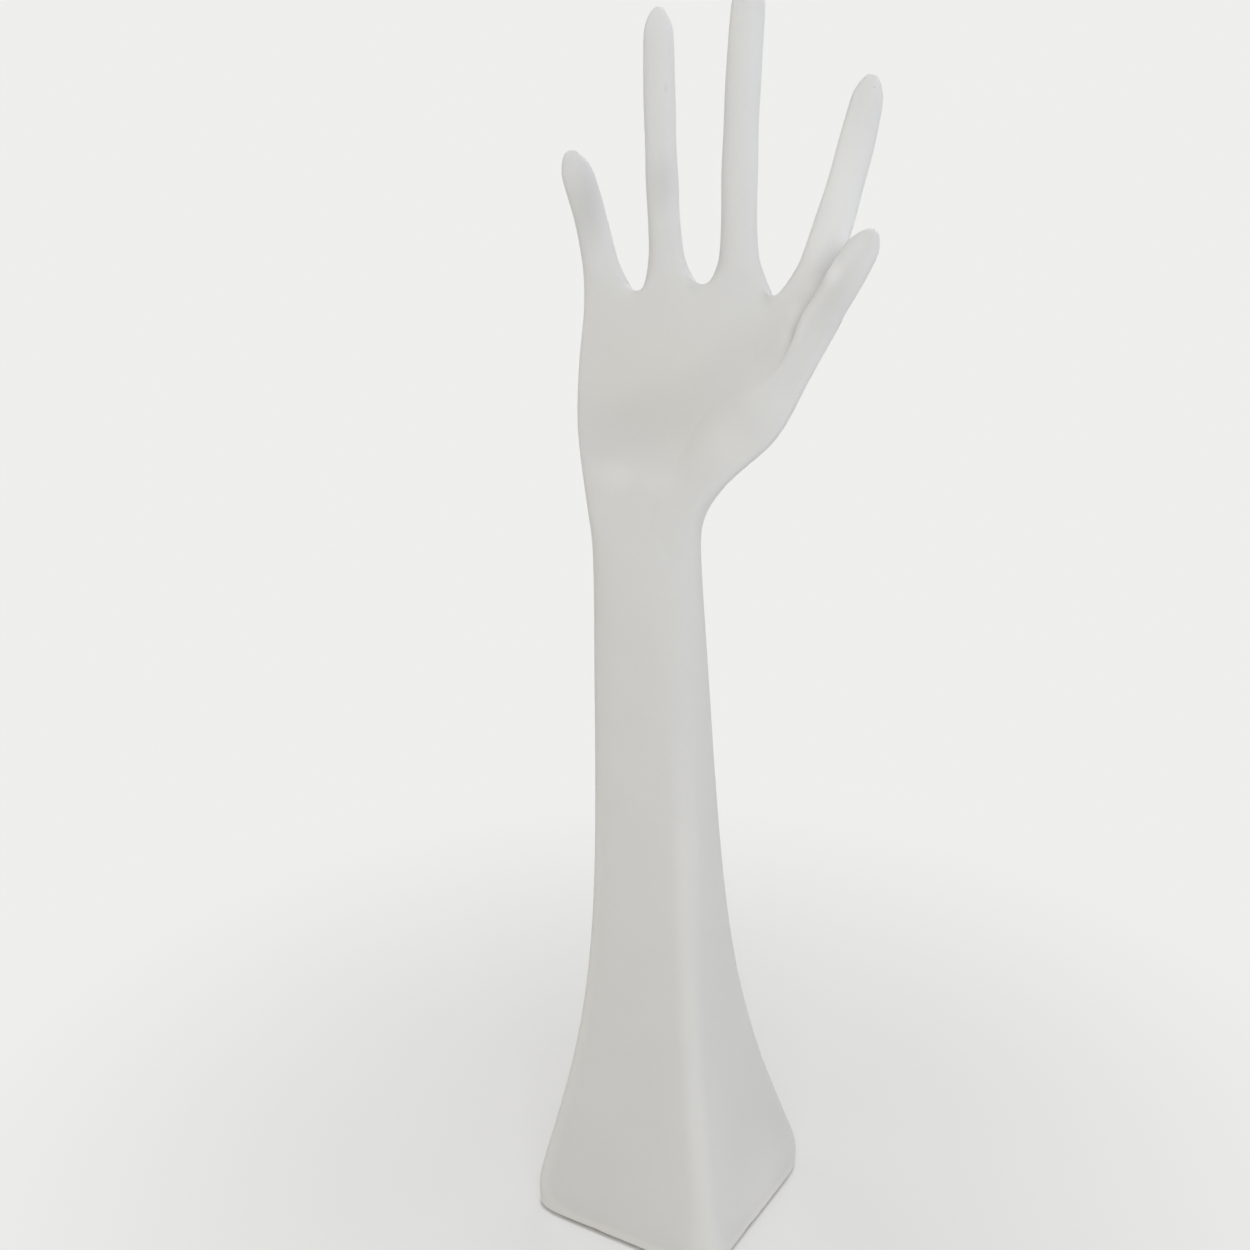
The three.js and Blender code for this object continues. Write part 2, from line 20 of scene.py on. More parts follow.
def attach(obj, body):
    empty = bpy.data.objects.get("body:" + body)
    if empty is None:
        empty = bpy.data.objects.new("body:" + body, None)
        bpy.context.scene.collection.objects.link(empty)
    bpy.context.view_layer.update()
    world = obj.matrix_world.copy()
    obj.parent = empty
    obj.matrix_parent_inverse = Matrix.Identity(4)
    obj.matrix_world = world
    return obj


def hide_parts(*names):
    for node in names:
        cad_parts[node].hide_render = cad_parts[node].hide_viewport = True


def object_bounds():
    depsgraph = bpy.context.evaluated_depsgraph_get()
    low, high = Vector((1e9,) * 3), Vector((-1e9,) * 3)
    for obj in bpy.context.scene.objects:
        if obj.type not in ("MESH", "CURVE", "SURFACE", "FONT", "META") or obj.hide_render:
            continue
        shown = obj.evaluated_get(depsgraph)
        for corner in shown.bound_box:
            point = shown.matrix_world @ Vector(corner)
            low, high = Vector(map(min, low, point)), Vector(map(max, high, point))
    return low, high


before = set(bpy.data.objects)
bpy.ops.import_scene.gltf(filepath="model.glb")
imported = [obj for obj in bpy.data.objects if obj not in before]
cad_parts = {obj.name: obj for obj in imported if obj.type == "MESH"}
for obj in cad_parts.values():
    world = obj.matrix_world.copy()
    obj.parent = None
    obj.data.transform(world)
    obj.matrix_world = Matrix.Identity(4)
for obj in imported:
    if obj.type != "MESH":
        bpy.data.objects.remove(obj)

CAD_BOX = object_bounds()
BODY = "root"
MM = 0.001
WELD = 0.002 * MM
IMAGE_SIZE = 1250

log = logging.getLogger("jewelry_stand")

Colour = tuple[float, float, float]
Triple = tuple[float, float, float]
Pixel = tuple[float, float]
Span = tuple[float, float]


class MathOp(Enum):
    """Operations of a Math node that the finishes use."""

    ADD = "ADD"
    SUBTRACT = "SUBTRACT"
    MULTIPLY = "MULTIPLY"
    DIVIDE = "DIVIDE"
    POWER = "POWER"
    LESS = "LESS_THAN"
    ABSOLUTE = "ABSOLUTE"
    MAXIMUM = "MAXIMUM"
    MINIMUM = "MINIMUM"


class VectorOp(Enum):
    """Operations of a Vector Math node that the finishes use."""

    SUBTRACT = "SUBTRACT"
    MULTIPLY = "MULTIPLY"
    MULTIPLY_ADD = "MULTIPLY_ADD"
    DOT = "DOT_PRODUCT"
    LENGTH = "LENGTH"


class Blend(Enum):
    """Ways to lay one colour over another."""

    MIX = "MIX"
    MULTIPLY = "MULTIPLY"


class Value:
    """One output socket of a node sheet, with arithmetic that adds Math nodes."""

    def __init__(self, sheet: "NodeSheet", socket: bpy.types.NodeSocket) -> None:
        """Wraps a socket of that sheet."""
        self.sheet = sheet
        self.socket = socket

    def _math(self, operation: MathOp, first: Any, second: Any = 0.0) -> "Value":
        """Adds a Math node for two numbers or Values and gives its result."""
        settings = {"operation": operation.value}
        return self.sheet.value("ShaderNodeMath", settings, {0: first, 1: second})

    def __add__(self, other: Any) -> "Value":
        """self + other."""
        return self._math(MathOp.ADD, self, other)

    def __radd__(self, other: Any) -> "Value":
        """other + self."""
        return self._math(MathOp.ADD, other, self)

    def __sub__(self, other: Any) -> "Value":
        """self - other."""
        return self._math(MathOp.SUBTRACT, self, other)

    def __rsub__(self, other: Any) -> "Value":
        """other - self."""
        return self._math(MathOp.SUBTRACT, other, self)

    def __mul__(self, other: Any) -> "Value":
        """self * other."""
        return self._math(MathOp.MULTIPLY, self, other)

    def __rmul__(self, other: Any) -> "Value":
        """other * self."""
        return self._math(MathOp.MULTIPLY, other, self)

    def __truediv__(self, other: Any) -> "Value":
        """self / other."""
        return self._math(MathOp.DIVIDE, self, other)

    def __rtruediv__(self, other: Any) -> "Value":
        """other / self."""
        return self._math(MathOp.DIVIDE, other, self)

    def __pow__(self, other: Any) -> "Value":
        """self ** other."""
        return self._math(MathOp.POWER, self, other)

    def __rpow__(self, other: Any) -> "Value":
        """other ** self."""
        return self._math(MathOp.POWER, other, self)

    def __abs__(self) -> "Value":
        """Size of the value without its sign."""
        return self._math(MathOp.ABSOLUTE, self)

    def __lt__(self, other: Any) -> "Value":
        """1 where the value is below other, else 0."""
        return self._math(MathOp.LESS, self, other)

    def __gt__(self, other: Any) -> "Value":
        """1 where the value is above other, else 0."""
        return self._math(MathOp.LESS, other, self)

    def at_least(self, other: Any) -> "Value":
        """The larger of the two."""
        return self._math(MathOp.MAXIMUM, self, other)

    def at_most(self, other: Any) -> "Value":
        """The smaller of the two."""
        return self._math(MathOp.MINIMUM, self, other)

    def rise(self, low: float, high: float) -> "Value":
        """A smooth step from 0 to 1.

        Args:
            low: Where it starts.
            high: Where it ends.

        Returns:
            The step's value.
        """
        settings = {"interpolation_type": "SMOOTHSTEP"}
        return self.sheet.value(
            "ShaderNodeMapRange", settings, {"Value": self, "From Min": low, "From Max": high}
        )

    def fall(self, low: float, high: float) -> "Value":
        """A smooth step from 1 down to 0 between low and high."""
        return 1 - self.rise(low, high)


class NodeSheet:
    """A node tree that is filled in by one method."""

    def __init__(self, tree: bpy.types.NodeTree) -> None:
        """Starts with an emptied tree."""
        self.tree = tree
        tree.nodes.clear()

    def add(
        self,
        kind: str,
        settings: Mapping[str, Any] | None = None,
        inputs: Mapping[str | int, Any] | None = None,
    ) -> bpy.types.Node:
        """Adds a node.

        Args:
            kind: The node's type name.
            settings: Its properties, set first.
            inputs: A number, a colour or a Value for each socket, by name or place.

        Returns:
            The new node.
        """
        node = self.tree.nodes.new(kind)
        for key, setting in (settings or {}).items():
            setattr(node, key, setting)
        for key, value in (inputs or {}).items():
            socket = node.inputs[key]
            if isinstance(value, Value):
                self.tree.links.new(value.socket, socket)
            else:
                socket.default_value = value
        return node

    def value(
        self,
        kind: str,
        settings: Mapping[str, Any] | None = None,
        inputs: Mapping[str | int, Any] | None = None,
        output: str | int = 0,
    ) -> Value:
        """Adds a node as add does and gives one of its outputs, by name or place."""
        return Value(self, self.add(kind, settings, inputs).outputs[output])


class FinishSheet(NodeSheet):
    """The node sheet of one material."""

    def __init__(self, name: str) -> None:
        """Starts a material.

        Args:
            name: The material's name.
        """
        self.material = bpy.data.materials.new(name)
        self.material.use_nodes = True
        super().__init__(self.material.node_tree)
        self.place = self.value("ShaderNodeTexCoord", output="Object")

    def attribute(self, name: str) -> Value:
        """A number that the mesh carries under that name."""
        return self.value("ShaderNodeAttribute", {"attribute_name": name}, output="Fac")

    def vector(self, operation: VectorOp, *given: Any) -> Value:
        """Adds a Vector Math node.

        Args:
            operation: What the node does.
            *given: Its vectors, in order.

        Returns:
            The node's vector, or its number where the operation gives one.
        """
        output = "Value" if operation in (VectorOp.DOT, VectorOp.LENGTH) else "Vector"
        settings = {"operation": operation.value}
        return self.value("ShaderNodeVectorMath", settings, dict(enumerate(given)), output)

    def stretched(self, scale: Triple) -> Value:
        """The place on the piece, with its axes scaled."""
        return self.vector(VectorOp.MULTIPLY, self.place, scale)

    def axis(self, name: str) -> Value:
        """The place along X, Y or Z."""
        return self.value("ShaderNodeSeparateXYZ", inputs={0: self.place}, output=name)

    def noise(self, size: float, detail: float, place: Value | None = None) -> Value:
        """Cloudy noise from about -1 to 1, with features of that size and that many finer layers."""
        inputs = {"Vector": place or self.place, "Scale": 1 / size, "Detail": detail}
        return (self.value("ShaderNodeTexNoise", inputs=inputs) - 0.5) * 2

    def specks(self, pitch: float, radius: float, share: float) -> Value:
        """Round specks, scattered through space.

        Args:
            pitch: Distance between neighbouring places for one.
            radius: A speck's radius.
            share: Share of the places that have one.

        Returns:
            1 in the middle of a speck, 0 outside.
        """
        cell = self.add("ShaderNodeTexVoronoi", inputs={"Vector": self.place, "Scale": 1 / pitch})
        distance = Value(self, cell.outputs["Distance"]) * pitch
        lot = self.value("ShaderNodeSeparateColor", inputs={0: Value(self, cell.outputs["Color"])})
        return distance.fall(0, radius) * (lot < share)

    def dent_and_painted_light_spot(self, centre: Vector, radius: float, stretch: float) -> Value:
        """A soft mark about a point, longer upwards by the stretch; it masks dents and also patches of
        painted shade and painted highlight.

        Args:
            centre: The point.
            radius: How far it reaches sideways.
            stretch: How much further it reaches upwards.

        Returns:
            1 at the point, 0 outside the mark.
        """
        offset = self.vector(VectorOp.SUBTRACT, self.place, centre)
        scale = (1 / radius, 1 / radius, 1 / (radius * stretch))
        return self.vector(VectorOp.LENGTH, self.vector(VectorOp.MULTIPLY, offset, scale)).fall(0, 1)

    def stroke(self, path: Sequence[Vector], core: float, radius: float) -> Value:
        """A soft stroke along a path.

        Args:
            path: Points of the path.
            core: How far the stroke is at its full strength.
            radius: How far it reaches to each side.

        Returns:
            1 on the path, 0 outside the stroke.
        """
        nearest = None
        for start, end in zip(path, path[1:]):
            along = end - start
            offset = self.vector(VectorOp.SUBTRACT, self.place, start)
            share = self.vector(VectorOp.DOT, offset, along / along.length_squared)
            share = self.value("ShaderNodeClamp", inputs={"Value": share})
            length = self.vector(VectorOp.LENGTH, self.vector(VectorOp.MULTIPLY_ADD, share, -along, offset))
            nearest = length if nearest is None else nearest.at_most(length)
        return nearest.fall(core, radius)

    def tint(self, base: Any, over: Any, amount: Any, blend: Blend = Blend.MIX) -> Value:
        """Lays one colour over another.

        Args:
            base: The colour below.
            over: The colour on top.
            amount: How much of it, from 0 to 1.
            blend: How it is laid.

        Returns:
            The mixed colour.
        """
        settings = {"data_type": "RGBA", "blend_type": blend.value, "clamp_factor": True}
        inputs = {0: amount, 6: rgba(base), 7: rgba(over)}
        return self.value("ShaderNodeMix", settings, inputs, output=2)

    def grey(self, value: Value) -> Value:
        """A number as a grey colour."""
        return self.value("ShaderNodeCombineColor", inputs={0: value, 1: value, 2: value})

    def surface(self, height: Value, **sockets: Any) -> bpy.types.Material:
        """Ends the sheet with a Principled shader.

        Args:
            height: Height of the surface's relief.
            **sockets: The shader's sockets, by name with _ for a space.

        Returns:
            The finished material.
        """
        normal = self.value("ShaderNodeBump", inputs={"Strength": 1.0, "Distance": 1.0, "Height": height})
        inputs = {key.replace("_", " "): value for key, value in sockets.items()}
        shader = self.value("ShaderNodeBsdfPrincipled", inputs={**inputs, "Normal": normal})
        self.add("ShaderNodeOutputMaterial", inputs={"Surface": shader})
        return self.material


def rgba(colour: Any) -> Any:
    """A colour with its alpha, or the Value that it is."""
    return colour if isinstance(colour, Value) else (*colour, 1.0)


@dataclass(frozen=True)
class Mark:
    """A soft mark in the paint, placed by where it shows: a casting flaw, or a patch of painted shade (shade
    above 0) or painted highlight (shade below 0), with optional painted warm bounce light.
    """

    pixel: Pixel
    radius: float
    stretch: float
    shade: float
    depth: float = 0.0
    # Share of painted warm bounce light that the mark lays in.
    painted_bounce: float = 0.0


@dataclass(frozen=True)
class Stroke:
    """A soft stroke in the paint, placed by where it shows: painted shade where its shade is above 0, and a
    painted highlight, such as along a crest, where it is below 0.
    """

    pixels: tuple[Pixel, ...]
    radius: float
    shade: float
    core: float = 0.0


@dataclass(frozen=True)
class ResinPaint:
    """Matt white paint, sprayed on a hand-finished resin casting; its colour also holds painted shade,
    painted highlights and painted warm bounce light.
    """

    name: str = "resin_paint"
    colour: Colour = (0.788, 0.789, 0.787)
    # Tint of the painted warm bounce light.
    bounce_tint: Colour = (1.0, 0.986, 0.96)
    scuff: Colour = (0.5, 0.48, 0.45)
    gloss: float = 0.42
    roughness: float = 0.6
    roughness_spread: float = 0.05
    scuff_roughness: float = 0.1
    cloud_size: float = 28 * MM
    cloud_tone: float = 0.022
    grain_size: float = 1.1 * MM
    grain_tone: float = 0.012
    grain_height: float = 0.006 * MM
    peel_size: float = 1.7 * MM
    peel_height: float = 0.022 * MM
    wave_size: float = 13 * MM
    wave_height: float = 0.05 * MM
    pit_pitch: float = 3.4 * MM
    pit_radius: float = 0.3 * MM
    pit_share: float = 0.02
    pit_tone: float = 0.08
    pit_depth: float = 0.12 * MM
    # Painted highlight on bulging crests low on the stand, such as the foot's corners.
    crest_highlight_bulge: Span = (25.0, 58.0)
    crest_highlight_height: Span = (0.14, 0.25)
    crest_highlight_tone: float = 0.06
    # Painted warm bounce light on the lower arm and near the foot.
    arm_painted_bounce_height: Span = (0.24, 0.34)
    arm_painted_bounce: float = 0.5
    foot_painted_bounce: float = 0.3
    foot_edge_start: float = 0.2
    scuff_size: float = 5 * MM
    scuff_range: Span = (0.25, 0.6)
    scuff_strength: float = 0.22

    def material(
        self,
        marks: Sequence[tuple[Vector, Mark]],
        strokes: Sequence[tuple[Sequence[Vector], Stroke]],
        foot_edge: float,
    ) -> bpy.types.Material:
        """Makes the material.

        Args:
            marks: Casting flaws and patches of painted shade, painted highlight and painted warm bounce
                light, with their places on the surface.
            strokes: Strokes of painted highlight and painted shade, with their paths on the surface.
            foot_edge: Height up to which the foot is handled and scuffed, and gets painted warm bounce light.

        Returns:
            The finished material.
        """
        sheet = FinishSheet(self.name)
        cloud = sheet.noise(self.cloud_size, detail=3)
        grain = sheet.noise(self.grain_size, detail=2)
        peel = sheet.noise(self.peel_size, detail=1)
        wave = sheet.noise(self.wave_size, detail=1)
        pits = sheet.specks(self.pit_pitch, self.pit_radius, self.pit_share)
        up = sheet.axis("Z")
        # Painted highlight where the skin bulges, low on the foot and the arm.
        crest_highlight = sheet.attribute("crest").rise(*self.crest_highlight_bulge) * up.fall(*self.crest_highlight_height)
        edge = up.fall(self.foot_edge_start * foot_edge, foot_edge)
        scuffs = edge * sheet.noise(self.scuff_size, detail=6).rise(*self.scuff_range)

        tone = 1 + cloud * self.cloud_tone + grain * self.grain_tone
        tone = tone - pits * self.pit_tone + crest_highlight * self.crest_highlight_tone
        # Painted warm bounce light on the lower arm and near the foot; the marks add more below.
        painted_bounce = edge * self.foot_painted_bounce + up.fall(*self.arm_painted_bounce_height) * self.arm_painted_bounce
        height = peel * self.peel_height + wave * self.wave_height
        height = height + grain * self.grain_height - pits * self.pit_depth
        # The marks: casting flaws, patches of painted shade and painted highlight, and painted warm bounce
        # light.
        for place, mark in marks:
            spot = sheet.dent_and_painted_light_spot(place, mark.radius, mark.stretch)
            tone = tone - spot * mark.shade
            if mark.depth:
                height = height - spot * mark.depth
            if mark.painted_bounce:
                painted_bounce = painted_bounce + spot * mark.painted_bounce
        # Painted highlight and painted shade along the strokes.
        for path, stroke in strokes:
            tone = tone - sheet.stroke(path, stroke.core, stroke.radius) * stroke.shade
        colour = sheet.tint(self.colour, self.bounce_tint, painted_bounce, Blend.MULTIPLY)
        colour = sheet.tint(colour, sheet.grey(tone), 1.0, Blend.MULTIPLY)
        colour = sheet.tint(colour, self.scuff, scuffs * self.scuff_strength)
        rough = self.roughness + (cloud + grain) * self.roughness_spread + scuffs * self.scuff_roughness
        return sheet.surface(
            height, Base_Color=colour, Roughness=rough, Specular_IOR_Level=self.gloss, Diffuse_Roughness=1.0
        )


@dataclass(frozen=True)
class PressedFelt:
    """Dark grey pressed wool felt."""

    name: str = "pressed_felt"
    colour: Colour = (0.03, 0.03, 0.032)
    light: Colour = (0.09, 0.088, 0.086)
    light_range: Span = (-0.4, 0.9)
    wool_size: float = 0.5 * MM
    wool_height: float = 0.12 * MM
    strand_size: float = 0.35 * MM
    strand_stretch: Triple = (0.25, 1.0, 1.0)
    strand_height: float = 0.08 * MM
    fine_share: float = 0.5
    clump_size: float = 6 * MM
    clump_share: float = 0.3
    roughness: float = 0.97
    roughness_spread: float = 0.02
    sheen: float = 0.4

    def material(self) -> bpy.types.Material:
        """Makes the material.

        Returns:
            The finished material.
        """
        sheet = FinishSheet(self.name)
        wool = sheet.noise(self.wool_size, detail=4)
        strands = sheet.noise(self.strand_size, detail=3, place=sheet.stretched(self.strand_stretch))
        clumps = sheet.noise(self.clump_size, detail=2)
        lightness = wool * self.fine_share + strands * self.fine_share + clumps * self.clump_share
        colour = sheet.tint(self.colour, self.light, lightness.rise(*self.light_range))
        height = wool * self.wool_height + strands * self.strand_height
        rough = self.roughness + clumps * self.roughness_spread
        return sheet.surface(height, Base_Color=colour, Roughness=rough, Sheen_Weight=self.sheen)


@dataclass(frozen=True)
class Fibreboard:
    """Raw brown fibreboard with a pressed face."""

    name: str = "fibreboard"
    colour: Colour = (0.25, 0.165, 0.095)
    dark: Colour = (0.14, 0.085, 0.045)
    dark_range: Span = (-0.6, 0.7)
    dark_strength: float = 0.7
    fibre_size: float = 0.9 * MM
    fibre_height: float = 0.03 * MM
    along: Triple = (1.0, 0.3, 1.0)
    across: Triple = (0.3, 1.0, 1.0)
    fibre_share: float = 0.5
    cloud_size: float = 15 * MM
    cloud_share: float = 0.4
    fleck_pitch: float = 2.2 * MM
    fleck_radius: float = 0.5 * MM
    fleck_share: float = 0.3
    fleck_strength: float = 0.3
    roughness: float = 0.82
    roughness_spread: float = 0.06

    def material(self) -> bpy.types.Material:
        """Makes the material.

        Returns:
            The finished material.
        """
        sheet = FinishSheet(self.name)
        fibres = sheet.noise(self.fibre_size, detail=5, place=sheet.stretched(self.along))
        crossed = sheet.noise(self.fibre_size, detail=5, place=sheet.stretched(self.across))
        cloud = sheet.noise(self.cloud_size, detail=3)
        flecks = sheet.specks(self.fleck_pitch, self.fleck_radius, self.fleck_share)
        darkness = fibres * self.fibre_share + crossed * self.fibre_share + cloud * self.cloud_share
        amount = darkness.rise(*self.dark_range) * self.dark_strength + flecks * self.fleck_strength
        colour = sheet.tint(self.colour, self.dark, amount)
        height = fibres * self.fibre_height + crossed * self.fibre_height
        return sheet.surface(
            height, Base_Color=colour, Roughness=self.roughness + cloud * self.roughness_spread
        )


@dataclass(frozen=True)
class CastIron:
    """Rough, sand-cast iron with a little rust."""

    name: str = "cast_iron"
    colour: Colour = (0.085, 0.082, 0.08)
    rust: Colour = (0.2, 0.075, 0.03)
    rust_range: Span = (0.25, 0.6)
    rust_strength: float = 0.7
    rust_roughness: float = 0.25
    rust_dulling: float = 0.8
    sand_size: float = 0.8 * MM
    sand_height: float = 0.14 * MM
    sand_share: float = 0.35
    sand_roughness: float = 0.05
    cloud_size: float = 11 * MM
    cloud_height: float = 0.2 * MM
    roughness: float = 0.62
    metallic: float = 0.9

    def material(self) -> bpy.types.Material:
        """Makes the material.

        Returns:
            The finished material.
        """
        sheet = FinishSheet(self.name)
        sand = sheet.noise(self.sand_size, detail=3)
        cloud = sheet.noise(self.cloud_size, detail=4)
        spots = (cloud + sand * self.sand_share).rise(*self.rust_range)
        colour = sheet.tint(self.colour, self.rust, spots * self.rust_strength)
        height = sand * self.sand_height + cloud * self.cloud_height
        rough = self.roughness + spots * self.rust_roughness + sand * self.sand_roughness
        metallic = self.metallic - spots * self.rust_dulling
        return sheet.surface(height, Base_Color=colour, Roughness=rough, Metallic=metallic)


@dataclass(frozen=True)
class DrawnWire:
    """Bright drawn steel wire with die lines along it."""

    name: str = "drawn_wire"
    colour: Colour = (0.5, 0.5, 0.49)
    dull: Colour = (0.3, 0.29, 0.28)
    dull_range: Span = (0.0, 0.6)
    dull_strength: float = 0.8
    dull_roughness: float = 0.2
    line_size: float = 0.25 * MM
    line_stretch: Triple = (1.0, 1.0, 0.02)
    line_height: float = 0.01 * MM
    line_roughness: float = 0.06
    cloud_size: float = 9 * MM
    roughness: float = 0.34

    def material(self) -> bpy.types.Material:
        """Makes the material.

        Returns:
            The finished material.
        """
        sheet = FinishSheet(self.name)
        lines = sheet.noise(self.line_size, detail=2, place=sheet.stretched(self.line_stretch))
        dull = sheet.noise(self.cloud_size, detail=3).rise(*self.dull_range)
        colour = sheet.tint(self.colour, self.dull, dull * self.dull_strength)
        rough = self.roughness + dull * self.dull_roughness + lines * self.line_roughness
        return sheet.surface(lines * self.line_height, Base_Color=colour, Roughness=rough, Metallic=1.0)


@dataclass(frozen=True)
class View:
    """The camera's place and the way it looks, in degrees."""

    place: Triple = (0.2910, -0.5231, 0.4976)
    azimuth: float = 30.74
    pitch: float = 23.48
    lens: float = 55.0
    sensor: float = 36.0
    nearest: float = 0.01

    def axes(self) -> tuple[Vector, Vector, Vector]:
        """Works out the picture's own axes.

        Returns:
            The ways to the right of the picture, up it and into it.
        """
        turn, dip = math.radians(self.azimuth), math.radians(self.pitch)
        ahead = Vector((-math.sin(turn) * math.cos(dip), math.cos(turn) * math.cos(dip), -math.sin(dip)))
        right = Vector((math.cos(turn), math.sin(turn), 0.0))
        return right, right.cross(ahead), ahead

    def ray(self, pixel: Pixel) -> Vector:
        """Works out where a pixel looks.

        Args:
            pixel: The pixel of the square picture, from its top left.

        Returns:
            The way from the camera through that pixel.
        """
        right, up, ahead = self.axes()
        focal = self.lens / self.sensor * IMAGE_SIZE
        middle = IMAGE_SIZE / 2
        return (ahead * focal + right * (pixel[0] - middle) - up * (pixel[1] - middle)).normalized()

    def build(self) -> bpy.types.Object:
        """Makes the scene's camera.

        Returns:
            The camera's object.
        """
        data = bpy.data.cameras.new("camera")
        data.lens = self.lens
        data.sensor_width = self.sensor
        data.clip_start = self.nearest
        camera = bpy.data.objects.new("camera", data)
        camera.location = self.place
        camera.rotation_euler = self.axes()[2].to_track_quat("-Z", "Y").to_euler()
        bpy.context.collection.objects.link(camera)
        bpy.context.scene.camera = camera
        return camera


def new_piece(name: str, mesh: bpy.types.Mesh) -> bpy.types.Object:
    """Puts a mesh into the scene.

    Args:
        name: Name of the piece.
        mesh: Its mesh.

    Returns:
        The piece's object.
    """
    piece = bpy.data.objects.new(name, mesh)
    bpy.context.collection.objects.link(piece)
    return piece


def evaluated_mesh(piece: bpy.types.Object) -> bpy.types.Mesh:
    """Works a piece's modifiers into a plain mesh.

    Args:
        piece: The piece.

    Returns:
        The new mesh.
    """
    graph = bpy.context.evaluated_depsgraph_get()
    return bpy.data.meshes.new_from_object(
        piece.evaluated_get(graph), preserve_all_data_layers=True, depsgraph=graph
    )


def welded_copy(node: str) -> bmesh.types.BMesh:
    """A part's mesh with its doubled points merged.

    Args:
        node: Name of the part.

    Returns:
        The merged copy.
    """
    shape = bmesh.new()
    shape.from_mesh(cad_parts[node].data)
    bmesh.ops.remove_doubles(shape, verts=shape.verts, dist=WELD)
    return shape


def points_of(mesh: bpy.types.Mesh) -> np.ndarray:
    """Reads a mesh's points.

    Args:
        mesh: The mesh.

    Returns:
        The points as rows of an array.
    """
    points = np.empty(3 * len(mesh.vertices), np.float32)
    mesh.vertices.foreach_get("co", points)
    return points.reshape(-1, 3)


def edges_of(mesh: bpy.types.Mesh) -> np.ndarray:
    """Reads a mesh's edges.

    Args:
        mesh: The mesh.

    Returns:
        The numbers of each edge's two points, as rows of an array.
    """
    edges = np.empty(2 * len(mesh.edges), np.int32)
    mesh.edges.foreach_get("vertices", edges)
    return edges.reshape(-1, 2)


